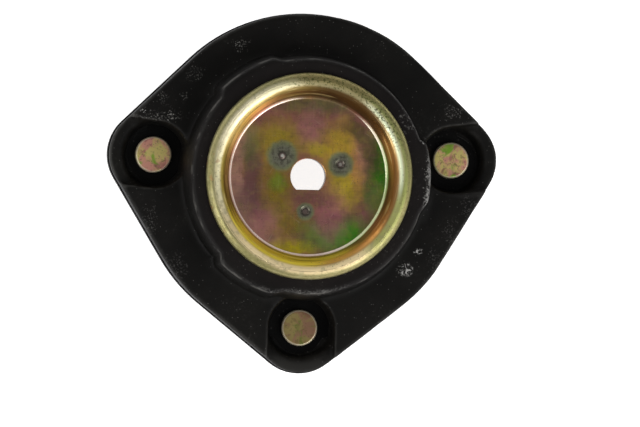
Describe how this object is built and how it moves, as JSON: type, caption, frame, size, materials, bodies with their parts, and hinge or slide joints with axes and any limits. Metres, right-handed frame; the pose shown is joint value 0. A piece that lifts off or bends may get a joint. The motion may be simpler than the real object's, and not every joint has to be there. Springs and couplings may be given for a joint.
{
  "type": "strut mount",
  "caption": "Three-stud rear strut mount: stamped plate, moulded rubber spring seat and collar, and a dished steel pan with a D-shaped rod hole.",
  "frame": {"origin": "rod seat: on the rod's axis, on the floor of the lower pan", "axes": "+Z along the rod's axis towards the spring, studs point to -Z; the lower stud lies on -Y, the side studs near +X and -X"},
  "size_m": [0.1382, 0.1275, 0.054],
  "materials": {
    "plate_steel": "black electrocoat, worn",
    "rubber": "moulded black rubber, dusty and scuffed",
    "yellow_chromate": "yellow chromate over zinc, mottled",
    "stud_zinc": "yellow chromate over zinc"
  },
  "bodies": {
    "root": {"mounting_plate": "plate_steel", "rubber_body": "rubber", "lower_pan": "yellow_chromate", "upper_dish": "yellow_chromate", "stud_left": "stud_zinc", "stud_right": "stud_zinc", "stud_lower": "stud_zinc"}
  },
  "joints": []
}
